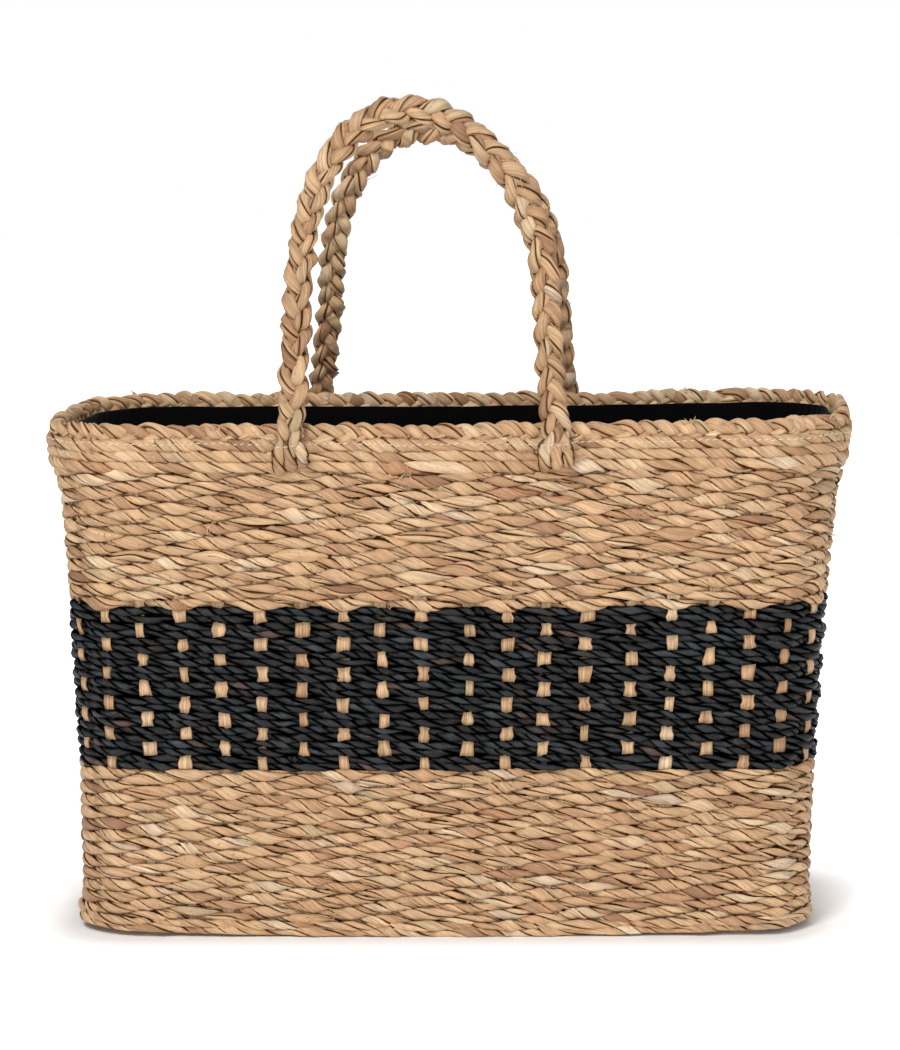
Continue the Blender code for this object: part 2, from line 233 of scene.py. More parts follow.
class Bundle:
    """Many tubes gathered into one mesh. In its square for baking, a tube fills as many strips as wraps."""

    def __init__(self, columns=1, wraps=1):
        self.columns = columns
        self.wraps = wraps
        self.tubes = []

    def add(self, grid, fibre, tone=0.5, kind=0.5, shade=1.0, closed=False):
        """grid holds rings of points, fibre their places in a blade, and shade their painted shade, 1 where
        they lie open.
        """
        numbers = [np.broadcast_to(value, grid.shape[:2]).ravel() for value in (tone, kind, shade)]
        self.tubes.append((grid, fibre, numbers, closed))

    @staticmethod
    def cap(corners):
        """Quads that close a ring of an even number of corners."""
        steps = range(corners // 2 - 1)
        return np.array([((-step) % corners, step + 1, step + 2, (-step - 1) % corners) for step in steps])

    def faces(self, index, rings, corners, closed):
        """A tube's quads, and the places of their corners in the square for baking."""
        spans = rings if closed else rings - 1
        i, j = (part.ravel() for part in np.meshgrid(np.arange(spans), np.arange(corners), indexing="ij"))
        near, far, beside = i * corners, (i + 1) % rings * corners, (j + 1) % corners
        quads = np.stack([near + j, near + beside, far + beside, far + j], axis=1)

        rows = math.ceil(len(self.tubes) * self.wraps / self.columns)
        wrap_length = math.ceil(spans / self.wraps)
        strip = index * self.wraps + i // wrap_length
        row, column = strip // self.columns, strip % self.columns
        low, high = (row + 0.06) / rows, (row + 0.94) / rows
        left, right = (column + 0.02) / self.columns, (column + 0.98) / self.columns
        step = i % wrap_length
        u0, u1 = (left + (right - left) * place / wrap_length for place in (step, step + 1))
        v0, v1 = (low + (high - low) * place / corners for place in (j, j + 1))
        uvs = np.stack([u0, v0, u0, v1, u1, v1, u1, v0], axis=1).reshape(-1, 4, 2)
        if not closed:
            cap = self.cap(corners)
            for quad, end, u in ((cap[:, ::-1], 0, u0[0]), (cap + (rings - 1) * corners, -1, u1[-1])):
                quads = np.vstack([quads, quad])
                v = low[end] + (high[end] - low[end]) * (quad % corners) / corners
                uvs = np.vstack([uvs, np.stack([np.full(v.shape, u), v], axis=-1)])
        return quads, uvs

    def build(self, name, material):
        """One mesh of all the tubes."""
        quads, uvs = [], []
        start = 0
        for index, (grid, _, _, closed) in enumerate(self.tubes):
            rings, corners = grid.shape[:2]
            quad, uv = self.faces(index, rings, corners, closed)
            tangent = grid[1].mean(axis=0) - grid[0].mean(axis=0)
            facing = np.cross(grid[0, 1] - grid[0, 0], grid[0, corners // 2] - grid[0, 1])
            if np.dot(facing, tangent) > 0:
                quad, uv = quad[:, ::-1], uv[:, ::-1]
            quads.append(quad + start)
            uvs.append(uv.reshape(-1, 2))
            start += rings * corners
        points, fibres = (np.vstack([tube[part].reshape(-1, 3) for tube in self.tubes]) for part in (0, 1))
        numbers = zip(*(tube[2] for tube in self.tubes))
        tone, kind, shade = (np.concatenate(values).astype(np.float32) for values in numbers)

        mesh = bpy.data.meshes.new(name)
        mesh.vertices.add(len(points))
        mesh.vertices.foreach_set("co", settled(points).astype(np.float32).ravel())
        corners = np.vstack(quads).astype(np.int32).ravel()
        mesh.loops.add(len(corners))
        mesh.loops.foreach_set("vertex_index", corners)
        mesh.polygons.add(len(corners) // 4)
        mesh.polygons.foreach_set("loop_start", np.arange(0, len(corners), 4, dtype=np.int32))
        mesh.update(calc_edges=True)
        mesh.uv_layers.new(name="OFBake").uv.foreach_set("vector", np.vstack(uvs).astype(np.float32).ravel())
        fibre = mesh.attributes.new("fibre", "FLOAT_VECTOR", "POINT")
        fibre.data.foreach_set("vector", fibres.astype(np.float32).ravel())
        for key, values in (("tone", tone), ("kind", kind), ("shade", shade)):
            mesh.attributes.new(key, "FLOAT", "POINT").data.foreach_set("value", values)
        mesh.materials.append(material)
        mesh.shade_smooth()
        mesh.validate()
        made = bpy.data.objects.new(name, mesh)
        bpy.context.collection.objects.link(made)
        return made

    def finish(self, name, material, slot, node):
        """Build the mesh as a piece of the basket that stands for a CAD node."""
        piece = self.build(name, material)
        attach(piece, "basket")
        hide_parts(node)
        return piece


# Materials

def linear(red, green, blue):
    """A colour given as 0 to 255 display values, as Blender's linear values."""
    values = [channel / 255 for channel in (red, green, blue)]
    return tuple(v / 12.92 if v < 0.04045 else ((v + 0.055) / 1.055) ** 2.4 for v in values) + (1.0,)


class Nodes:
    """A short way to write the nodes of a material, or of a world."""

    def __init__(self, name, world=False):
        self.owner = (bpy.data.worlds if world else bpy.data.materials).new(name)
        self.owner.use_nodes = True
        self.tree = self.owner.node_tree
        self.main = self.tree.nodes["Background" if world else "Principled BSDF"]

    def fill(self, node, inputs):
        """Set a node's inputs to values or to other nodes' outputs."""
        for key, value in inputs.items():
            socket = node.inputs[key]
            if isinstance(value, bpy.types.NodeSocket):
                self.tree.links.new(value, socket)
            else:
                socket.default_value = value

    def surface(self, inputs):
        self.fill(self.main, inputs)

    def add(self, kind, inputs=None, **settings):
        node = self.tree.nodes.new(kind)
        for key, value in settings.items():
            setattr(node, key, value)
        self.fill(node, inputs or {})
        return node

    def attribute(self, name, output):
        return self.add("ShaderNodeAttribute", attribute_name=name).outputs[output]

    def ramp(self, value, stops, interpolation="LINEAR"):
        node = self.add("ShaderNodeValToRGB", {"Fac": value})
        ramp = node.color_ramp
        ramp.interpolation = interpolation
        while len(ramp.elements) < len(stops):
            ramp.elements.new(0.5)
        for element, (place, colour) in zip(ramp.elements, stops):
            element.position = place
            element.color = colour if isinstance(colour, tuple) else (colour, colour, colour, 1.0)
        return node.outputs["Color"]

    def scaled(self, vector, factors):
        inputs = {0: vector, 1: factors}
        return self.add("ShaderNodeVectorMath", inputs, operation="MULTIPLY").outputs["Vector"]

    def noise(self, vector, factors, detail, roughness):
        """Noise with so many waves in a metre along, across and through the fibre."""
        vector = self.scaled(vector, factors)
        inputs = {"Vector": vector, "Scale": 1.0, "Detail": detail, "Roughness": roughness}
        return self.add("ShaderNodeTexNoise", inputs).outputs["Fac"]

    def bands(self, direction, inputs):
        wave = self.add("ShaderNodeTexWave", inputs, wave_type="BANDS", bands_direction=direction)
        return wave.outputs["Fac"]

    def mix(self, share, first, second, kind="MIX"):
        inputs = {0: share, 6: first, 7: second}
        return self.add("ShaderNodeMix", inputs, data_type="RGBA", blend_type=kind).outputs[2]

    def toned(self, colour, value, stops):
        """A colour multiplied by a ramp of a value."""
        return self.mix(1.0, colour, self.ramp(value, stops), "MULTIPLY")

    def maths(self, operation, first, second=0.0):
        return self.add("ShaderNodeMath", {0: first, 1: second}, operation=operation).outputs[0]

    def for_camera(self, others, camera):
        """One value for the camera's rays and one for all others."""
        ray = self.add("ShaderNodeLightPath").outputs["Is Camera Ray"]
        inputs = {"Value": ray, "To Min": others, "To Max": camera}
        return self.add("ShaderNodeMapRange", inputs).outputs["Result"]

    def bump(self, height, strength, distance):
        node = self.add("ShaderNodeBump", {"Height": height, "Strength": strength, "Distance": distance})
        self.surface({"Normal": node.outputs["Normal"]})


def seagrass_material(name, tones, odd_kinds, odd_strength, painted_crease_shade, fleck, streak_depth, roughness,
                      specular):
    """Dried blades: a tone for each piece, a few odd ones, streaks along the fibre, and painted shade in
    each crease and groove.
    """
    nodes = Nodes(name)
    fibre = nodes.attribute("fibre", "Vector")
    kind = nodes.attribute("kind", "Fac")
    shade = nodes.attribute("shade", "Fac")
    tone = nodes.ramp(nodes.attribute("tone", "Fac"), tones)
    odd = nodes.ramp(kind, odd_kinds, "CONSTANT")
    odd_share = nodes.ramp(kind, [(0.0, 0.0), (odd_kinds[1][0], odd_strength)], "CONSTANT")
    colour = nodes.mix(odd_share, tone, odd)

    fine = nodes.noise(fibre, (50.0, 2100.0, 2100.0), 3.0, 0.65)
    broad = nodes.noise(fibre, (26.0, 760.0, 760.0), 2.0, 0.5)
    spots = nodes.noise(fibre, (300.0, 1000.0, 1000.0), 3.0, 0.7)
    patches = nodes.noise(fibre, (75.0, 120.0, 120.0), 2.0, 0.5)
    colour = nodes.toned(colour, fine, [(0.36, 1.0 - streak_depth), (0.58, 1.05)])
    colour = nodes.toned(colour, broad, [(0.36, 0.76), (0.60, 1.08)])
    colour = nodes.mix(nodes.ramp(spots, [(0.30, 1.0), (0.38, 0.0)]), colour, fleck)
    colour = nodes.toned(colour, patches, [(0.30, 0.86), (0.66, 1.06)])
    # Painted shade: the shade attribute darkens the colour in each crease and groove and takes the specular
    # away there
    nodes.surface({
        "Base Color": nodes.toned(colour, shade, painted_crease_shade),
        "Roughness": nodes.ramp(broad, [(0.3, roughness + 0.12), (0.7, roughness - 0.08)]),
        "Specular IOR Level": nodes.ramp(shade, [(0.25, 0.0), (0.85, specular)]),
    })
    nodes.bump(nodes.maths("ADD", fine, broad), 0.8, 0.0006)
    return nodes.owner


def natural_material(name, gain, streak_depth):
    def tan(red, green, blue):
        return tuple(channel * gain for channel in linear(red, green, blue)[:3]) + (1.0,)

    tones = [(0.0, tan(160, 118, 86)), (0.25, tan(192, 149, 110)), (0.5, tan(208, 168, 126)),
             (0.78, tan(216, 179, 138)), (1.0, tan(226, 197, 160))]
    odd = [(0.0, tan(208, 167, 124)), (0.88, tan(178, 124, 86)), (0.935, tan(192, 174, 136)),
           (0.97, tan(230, 216, 192))]
    # Painted shade: the colours that the shade attribute multiplies in, dark in each crease and groove
    painted_crease_shade = [(0.0, (0.05, 0.03, 0.02, 1.0)), (0.34, (0.20, 0.14, 0.10, 1.0)),
               (0.58, (0.84, 0.79, 0.74, 1.0)), (0.85, 1.0)]
    return seagrass_material(name, tones, odd, 0.42, painted_crease_shade, tan(124, 86, 60), streak_depth, 0.50, 0.38)


def black_material(name):
    tones = [(0.0, linear(6, 7, 9)), (0.40, linear(22, 24, 26)), (0.70, linear(36, 41, 43)),
             (1.0, linear(60, 66, 70))]
    odd = [(0.0, linear(22, 24, 26)), (0.92, linear(50, 42, 40)), (0.975, linear(112, 84, 72))]
    # Painted shade: the colours that the shade attribute multiplies in, dark in each crease and groove and
    # towards ply edges
    painted_crease_shade = [(0.0, 0.03), (0.30, 0.18), (0.75, 0.80), (1.0, 1.0)]
    return seagrass_material(name, tones, odd, 0.6, painted_crease_shade, linear(104, 78, 66), 0.60, 0.36, 0.34)


def cloth_material(name):
    """Black plain-woven cotton: fine threads both ways."""
    nodes = Nodes(name)
    fibre = nodes.attribute("fibre", "Vector")
    threads = {"Vector": fibre, "Scale": 420.0, "Distortion": 1.2, "Detail": 1.0}
    weave = nodes.maths("MULTIPLY", nodes.bands("X", threads), nodes.bands("Y", threads))
    lint = nodes.noise(fibre, (90.0, 90.0, 90.0), 4.0, 0.6)
    colour = nodes.mix(weave, linear(2, 2, 3), linear(14, 13, 16))
    nodes.surface({
        "Base Color": nodes.toned(colour, lint, [(0.3, 0.75), (0.75, 1.2)]),
        "Roughness": nodes.ramp(lint, [(0.2, 0.98), (0.8, 0.86)]),
        "Specular IOR Level": 0.05,
        "Sheen Weight": 0.04,
    })
    nodes.bump(weave, 0.5, 0.0003)
    return nodes.owner


def thread_material(name):
    """Cream sewing thread with a visible twist."""
    nodes = Nodes(name)
    fibre = nodes.scaled(nodes.attribute("fibre", "Vector"), (1400.0, 2600.0, 2600.0))
    twist = nodes.bands("DIAGONAL", {"Vector": fibre, "Scale": 1.0})
    nodes.surface({
        "Base Color": nodes.mix(twist, linear(196, 186, 168), linear(240, 234, 222)),
        "Roughness": nodes.ramp(twist, [(0.0, 0.8), (1.0, 0.6)]),
    })
    nodes.bump(twist, 0.4, 0.0002)
    return nodes.owner


# Cords

# A ply's outline in its cord's section, where the whole cord fills about the unit circle: how far its middle
# lies from the cord's, its half size that way, and its half size across
ROUND_PLY = (0.38, 0.62, 1.0)
SLIM_PLY = (0.46, 0.55, 0.82)
STRAND_PLY = (0.40, 0.60, 0.98)
BASE_PLY = (0.47, 0.53, 0.86)

# Where painted shade darkens a ply towards the one beside it: how far round its outline, and how softly.
# SOFT_GROOVE spreads it from each black ply's crest to its edges.
THIN_GROOVE = (0.78, 0.80)
ROPE_GROOVE = (0.86, 0.80)
SOFT_GROOVE = (0.64, 0.98)
BASE_GROOVE = (0.45, 1.15)

BLADE_APART = 3.1              # between the places of two blades in the streaks, so that they don't match


def random_tones(rng, count):
    """A tone for each piece of blade: mostly middling, a few light or dark."""
    return np.clip(rng.normal(0.53, 0.22, count), 0.0, 1.0)


def softened(values):
    """Numbers round a closed tube with the steps between pieces of blade smoothed."""
    reach = 3
    total = sum(np.roll(values, shift, axis=0) for shift in range(-reach, reach + 1))
    return total / (2 * reach + 1)


def corner_turns(corners):
    return TURN * np.arange(corners) / corners


def blade_number(angle):
    """Which piece of blade a ply shows: a new one comes up once in each turn of the cord."""
    return np.floor((angle + math.pi / 2) / TURN).astype(int)


def draw_blades(piece, count, bulging, folding, corners, rng):
    """The tone, kind, bulk and folds of each ring of a ply, from the piece of blade that it lies in."""
    tone = random_tones(rng, count)[piece, None]
    kind = rng.uniform(0, 1, count)[piece, None]
    bulk = softened(1 + bulging * rng.normal(size=count).clip(-1.5, 1.5)[piece, None])
    folds = softened(rng.normal(0, folding, (count, corners))[piece])
    return tone, kind, bulk, folds


def ply_outline(angle, ply, turn, bulk=1.0, folds=0.0, shift=0.0):
    """One ply's outline in its cord's section: across the cord and out, then along the ply's own axes."""
    offset, radial, tangent = ply
    ring_r = offset + shift + (radial + folds) * np.cos(turn)
    ring_t = (tangent * bulk + folds) * np.sin(turn)
    across = ring_r * np.cos(angle)[:, None] - ring_t * np.sin(angle)[:, None]
    out = ring_r * np.sin(angle)[:, None] + ring_t * np.cos(angle)[:, None]
    return across, out, ring_r, ring_t


def fibre_places(along, first, second, rng):
    """Each point's place in a blade of its own: along it and two ways across it."""
    return np.stack(np.broadcast_arrays(along, first, second), axis=-1) + rng.uniform(0, 9, 3)


def groove_shade(turn, groove):
    """Painted shade for each corner of a ply's outline: 1 where it lies open, dark only where it meets the
    other ply.
    """
    reach, softness = groove
    return smooth_step((np.cos(turn) + reach) / softness)


def add_cord(bundle, z, out, half_z, half_out, turns, rng, ply=ROUND_PLY, corners=8, groove=THIN_GROOVE,
             hollow=0.0, restless=0.5, row_tone=0.0, light=1.0):
    """A twisted cord that runs once round the basket. half_z and half_out are the cord's half sizes.

    Seen from outside, its two plies slope down to the right. light is painted shade along its way, least
    inside a stake, and hollow is how much painted shade darkens it where it meets the cords above and below.
    """
    twist = TURN * turns * AROUND / STAKES + rng.uniform(0, TURN) + restless * wander(1, 24, rng)
    k = stake_place(AROUND)[:, None]
    size = float(half_z.mean())
    turn = corner_turns(corners)
    for angle in (twist, twist + math.pi):
        piece = blade_number(angle) % turns
        tone, kind, bulk, folds = draw_blades(piece, turns, 0.19, 0.06, corners, rng)
        shift = 0.08 * wander(6, 40, rng)[:, None]
        dz, do, ring_r, ring_t = ply_outline(angle, ply, turn, bulk, folds, shift)
        grid = wall_points(k, z[:, None] + half_z[:, None] * dz, out[:, None] + half_out[:, None] * do)
        along = (AROUND * STAKE_PITCH + BLADE_APART * piece)[:, None]
        fibre = fibre_places(along, ring_r * size, ring_t * size, rng)
        # Painted shade: darker where the plies meet, on the side that faces the wall, where the row passes
        # inside a stake (light) and where the cord meets the cords above and below (hollow)
        painted_wall_side_shade = smooth_step((do + 0.52) / 1.12)
        between = smooth_step((1.02 - np.abs(dz)) / 0.40)
        shade = np.minimum(groove_shade(turn, groove), painted_wall_side_shade) * light * blend(1.0, between, hollow)
        bundle.add(grid, fibre, tone + row_tone, kind, shade, True)


def add_strand(bundle, path, side, face, half_side, half_face, twist, length, sway, lift, edge, rng,
               turns=None, lying=0.0):
    """A plait's strand: two blades twisted together along a path.

    side and face are the directions of the strand's wide and thin halves. sway and lift are its place in the
    plait, which gets painted shade inside and none past edge. turns is given for a closed strand, and lying
    is 1 where the strand lies flat on the wall beside others, where painted shade darkens its sides.
    """
    corners = 12
    turn = corner_turns(corners)
    size = float(half_side.mean())
    half_side, half_face, sway, lift = (values[:, None] for values in (half_side, half_face, sway, lift))
    for angle in (twist, twist + math.pi):
        piece = blade_number(angle)
        piece = piece - piece.min()
        pieces = turns or piece.max() + 1
        piece = piece % pieces
        tone, kind, bulk, folds = draw_blades(piece, pieces, 0.12, 0.05, corners, rng)
        across, out, ring_r, ring_t = ply_outline(angle, STRAND_PLY, turn, bulk, folds)
        across = across * half_side
        out = out * half_face
        grid = path[:, None] + side[:, None] * across[..., None] + face[:, None] * out[..., None]
        fibre = fibre_places((length + BLADE_APART * piece)[:, None], ring_r * size, ring_t * size, rng)
        # Painted shade: darker inside the plait, where strands pass under one another, except past its
        # edges; darker where the plies meet; and along the sides of strands that lie flat on the wall
        outside = smooth_step((np.abs(lift + out) + 0.0004) / 0.0022)
        at_edge = smooth_step((np.abs(sway + across) - edge) / 0.0012)
        beside = smooth_step((1.05 - np.abs(across) / half_side) / 0.40)
        shade = np.minimum(groove_shade(turn, ROPE_GROOVE), np.maximum(outside, at_edge))
        bundle.add(grid, fibre, tone, kind, shade * blend(1.0, beside, lying), turns is not None)


def over_under(row, power):
    """1 where the row passes outside a stake, -1 where it passes inside."""
    return rounded_wave(np.cos(math.pi * (AROUND - 0.5) + math.pi * (row + 1)), power)


def row_light(side, deepest, rest):
    """Painted shade along a row: how much light it keeps, least where it passes inside a stake."""
    return (deepest + rest * smooth_step((side + 1.0) / 0.7))[:, None]


def make_zone(node, low, high, first_row, rows, power, add_row, material, slot):
    """A zone of the wall, as a piece of low rows and a piece of high rows."""
    pitch = (high - low) / rows
    split = (rows + 1) // 2
    for numbers, part in ((range(split), "low_rows"), (range(split, rows), "high_rows")):
        bundle = Bundle(wraps=3)
        for row in numbers:
            add_row(bundle, low + (row + 0.5) * pitch, pitch, over_under(first_row + row, power))
        bundle.finish(f"{node}_{part}", material, slot, node)


def make_natural_rows(node, low, high, first_row, rows, material, rng):
    """Rows of thick cord, each over one stake and under the next. Next to the black zone they sag."""
    black_edge = BLACK_BOTTOM if low < BLACK_BOTTOM else BLACK_TOP

    def add_row(bundle, z, pitch, side):
        sag = 0.0011 * math.exp(-abs(z - black_edge) / 0.008) * over_under(BLACK_FIRST_ROW, 1.0)
        z = z + row_drift(z) + sag + 0.0003 * wander(12, 60, rng)
        out = MIDDLE + 0.0021 * side + 0.0002 * wander(6, 40, rng)
        half_z = pitch * (0.47 + 0.42 * np.abs(side) ** 1.2) * (1 + 0.15 * wander(2, 40, rng))
        half_out = 0.0019 + 0.0003 * wander(4, 40, rng)
        turns = int(rng.integers(30, 40))
        # Painted shade where the row passes inside a stake (light)
        add_cord(bundle, z, out, half_z, half_out, turns, rng, restless=1.5,
                 row_tone=0.05 * rng.normal(), light=row_light(side, 0.62, 0.38))

    make_zone(node, low, high, first_row, rows, 0.8, add_row, material, "natural_seagrass")


def make_black_rows(material, rng):
    """Rows of paired thin black cords."""
    def add_row(bundle, z, pitch, side):
        for cord in (-1, 1):
            spread = pitch * (0.24 + 0.02 * side + 0.045 * wander(12, 48, rng))
            place = z + row_drift(z) + cord * spread + 0.0005 * wander(20, 60, rng)
            out = MIDDLE + 0.0023 * side + 0.0004 * wander(6, 30, rng)
            half = pitch * 0.285 * (1 + 0.13 * wander(4, 48, rng))
            turns = int(rng.integers(46, 57))
            # Strong painted shade where these cords meet the cords above and below (hollow)
            add_cord(bundle, place, out, half, half * 0.95, turns, rng, SLIM_PLY, groove=SOFT_GROOVE,
                     hollow=0.85, restless=1.4, row_tone=0.10 * rng.normal())

    make_zone("black_weave", BLACK_BOTTOM, BLACK_TOP, BLACK_FIRST_ROW, BLACK_ROWS, 0.62, add_row, material,
              "black_seagrass")


def make_rim_ropes(material, rng):
    """The thicker twisted rows under the rim, up to the foot of the braid, with thin ones behind."""
    bundle = Bundle()
    height = RIM_ROPES_TOP - UPPER_TOP
    level = np.ones(STEPS)
    for share, place, turns in ((0.20, -0.0024, 36), (0.70, -0.0022, 38), (1.17, -0.0014, 41)):
        z = UPPER_TOP + share * height + row_drift(RIM_TOP) + 0.0004 * wander(6, 40, rng)
        out = place + 0.0006 * wander(10, 30, rng)
        half_z = 0.0038 * (1 + 0.12 * wander(4, 40, rng))
        # Painted shade, at half strength, where these ropes meet the ones above and below (hollow)
        add_cord(bundle, z, out, half_z, 0.0028 * level, turns, rng, corners=12, groove=ROPE_GROOVE,
                 hollow=0.5, restless=1.4)
    for share in (0.2, 0.5, 0.8):
        z = (UPPER_TOP + share * height) * level
        add_cord(bundle, z, -0.0058 * level, 0.0024 * level, 0.0018 * level, 30, rng)
    return bundle.finish("rim_rope_rows", material, "natural_seagrass", "rim_ropes")


def make_rim_braid(material, rng):
    """The border: three strands plaited along the top of the wall, whose faces look in and out."""
    steps = 3 * STEPS
    around = np.arange(steps) / steps * STAKES
    cycles = 35
    turns = 24

    def stray(slowest, fastest):
        return wander(slowest, fastest, rng, around)

    bundle = Bundle(wraps=4)
    middle = (RIM_TOP + RIM_ROPES_TOP) / 2 + 0.0007 * stray(3, 30)
    theta = TURN * cycles * around / STAKES + 0.6 * stray(2, 40)
    for strand in range(3):
        phase = theta + TURN * strand / 3
        size = 1 + 0.10 * stray(10, 60)
        sway = 0.0039 * size * np.sin(phase)
        lift = -0.0020 * size * np.sin(2 * phase)
        path = wall_points(around, middle + sway, MIDDLE + lift)
        away = unit(wall_points(around, middle + sway, MIDDLE + lift + 0.01) - path)
        along = unit(np.roll(path, -1, axis=0) - np.roll(path, 1, axis=0))
        side = unit(np.cross(away, along))
        face = np.cross(along, side)
        half_side = 0.0036 * (1 + 0.10 * stray(10, 60))
        half_face = np.full(steps, 0.0023)
        twist = TURN * turns * around / STAKES + rng.uniform(0, TURN) + 1.2 * stray(2, 20)
        add_strand(bundle, path, side, face, half_side, half_face, twist, around * STAKE_PITCH, sway, lift,
                   0.0050, rng, turns)
    return bundle.finish("rim_braid_strands", material, "natural_seagrass", "rim_braid")


def make_border_rope(material, rng):
    """The twisted rows round the bottom edge, which cover the turned stakes."""
    bundle = Bundle()
    for share, row, place in ((0.30, 0, -0.0016), (0.78, 1, -0.0012)):
        side = over_under(row, 1.0)
        z = BORDER_TOP * share + 0.0004 * side + 0.0002 * wander(8, 40, rng)
        out = place + 0.0009 * side + 0.0003 * wander(3, 20, rng)
        half_z = (0.0021 + 0.0009 * np.abs(side) ** 1.3) * (1 + 0.16 * wander(5, 40, rng))
        # Painted shade where the row passes inside a stake (light)
        add_cord(bundle, z, out, half_z, np.full(STEPS, 0.0024), 38, rng, corners=12, restless=1.4,
                 light=row_light(side, 0.60, 0.40))
    bundle.finish("base_border_cord", material, "natural_seagrass", "base_border_rope")


# Stakes and base

STAKE_HALF_WIDTH = 0.165       # in stake spacings
STAKE_THICKNESS = 0.0015
STAKE_BEND_RADIUS = 0.003
CROSS_STAKE_HEIGHT = 0.0040    # of the blades under the base
LONG_STAKE_HEIGHT = 0.0060


def weave_side(k, z):
    """Which way the row at this height passes a stake: 1 outside it, -1 inside it."""
    row = np.interp(z, (BORDER_TOP, BLACK_BOTTOM, BLACK_TOP, UPPER_TOP),
                    (0, LOWER_ROWS, UPPER_FIRST_ROW, UPPER_FIRST_ROW + UPPER_ROWS)) - 0.5
    return np.cos(math.pi * (math.floor(k) + row + 1))


def stake_leg(k, base_z, rng):
    """Places of a stake's middle from its top down the wall and round into the base: k, z, out, tilt."""
    z = np.arange(RIM_ROPES_TOP - 0.001, BORDER_TOP + 0.002, -0.0022)
    strength = np.where((z > BLACK_BOTTOM) & (z < BLACK_TOP), 0.0009, 0.0003)
    out = MIDDLE - strength * weave_side(k, z)
    bend = np.linspace(0, math.pi / 2, 5)
    tilt = np.concatenate([np.zeros_like(z), bend])
    z = np.concatenate([z, base_z + STAKE_BEND_RADIUS * (1 - np.sin(bend))])
    out = np.concatenate([out, MIDDLE - STAKE_BEND_RADIUS * (1 - np.cos(bend))])
    sway = 0.035 * np.cos(z * 40 + rng.uniform(0, TURN)) + 0.018 * np.cos(z * 210 + rng.uniform(0, TURN))
    return stake_place(np.array([k]))[0] + sway, z, out, tilt


def stake_rings(places, corners, rng):
    """Rings of a flat, slightly folded blade."""
    k, z, out, tilt = (values[:, None] for values in places)
    turn = TURN * (np.arange(corners) + 0.5) / corners
    width = rounded_wave(np.cos(turn), 0.8)
    lean = 3 * np.cos(z * 190 + rng.uniform(0, TURN))
    fold = 0.5 * np.cos(3.2 * width + lean) + 0.35 * np.cos(7 * width - lean)
    thick = rounded_wave(np.sin(turn), 0.6) + 0.6 * fold
    narrowing = 0.14 * np.cos(z * 45 + rng.uniform(0, TURN)) + 0.16 * np.cos(z * 330 + lean)
    half = STAKE_HALF_WIDTH * (0.88 + narrowing)
    offset = STAKE_THICKNESS / 2 * thick
    return wall_points(k + half * width, z - offset * np.sin(tilt), out + offset * np.cos(tilt))


def distances_along(points):
    """How far each point of a line is from its start."""
    return np.concatenate([[0], np.cumsum(np.linalg.norm(np.diff(points, axis=0), axis=1))])


def make_stake(node, start, end, base_z, material, rng):
    """One long blade: down the wall, across the base and up the other side."""
    corners = 12
    down = stake_rings(stake_leg(start, base_z, rng), corners, rng)
    up = stake_rings(stake_leg(end, base_z, rng), corners, rng)[::-1]
    up = up[:, [(corners // 2 - 1 - corner) % corners for corner in range(corners)]]
    span = np.linspace(0, 1, 46)[1:-1, None, None]
    across = down[-1][None] * (1 - span) + up[0][None] * span
    across[:, :, 2] += (np.cos(span * math.pi * 17) * 0.0008)[..., 0]
    grid = np.concatenate([down, across, up])
    length = distances_along(grid.mean(axis=1))
    turn = corner_turns(corners)
    fibre = fibre_places(length[:, None], 0.004 * np.cos(turn), 0.001 * np.sin(turn), rng)
    tone = 0.62 + 0.16 * rng.normal() + 0.1 * np.cos(length * 70 + rng.uniform(0, TURN))
    kind = float(rng.uniform(0, 0.8))
    # Painted shade: darker along the blade's two side edges
    shade = 0.35 + 0.65 * np.abs(np.sin(turn + math.pi / corners))
    bundle = Bundle()
    bundle.add(grid, fibre, np.clip(tone, 0, 1)[:, None], kind, shade)
    bundle.finish(f"{node}_blade", material, "stake_seagrass", node)


def make_stakes(material, rng):
    for kind, first, opposite, count, base_z in (
            ("cross", 0, STAKES / 2 + LONG_STAKES, LONG_STAKES, CROSS_STAKE_HEIGHT),
            ("long", LONG_STAKES, STAKES, END_STAKES, LONG_STAKE_HEIGHT)):
        for index in range(count):
            place = index + 0.5
            node = f"{kind}_stake_{index + 1:02d}"
            make_stake(node, first + place, opposite - place, base_z, material, rng)


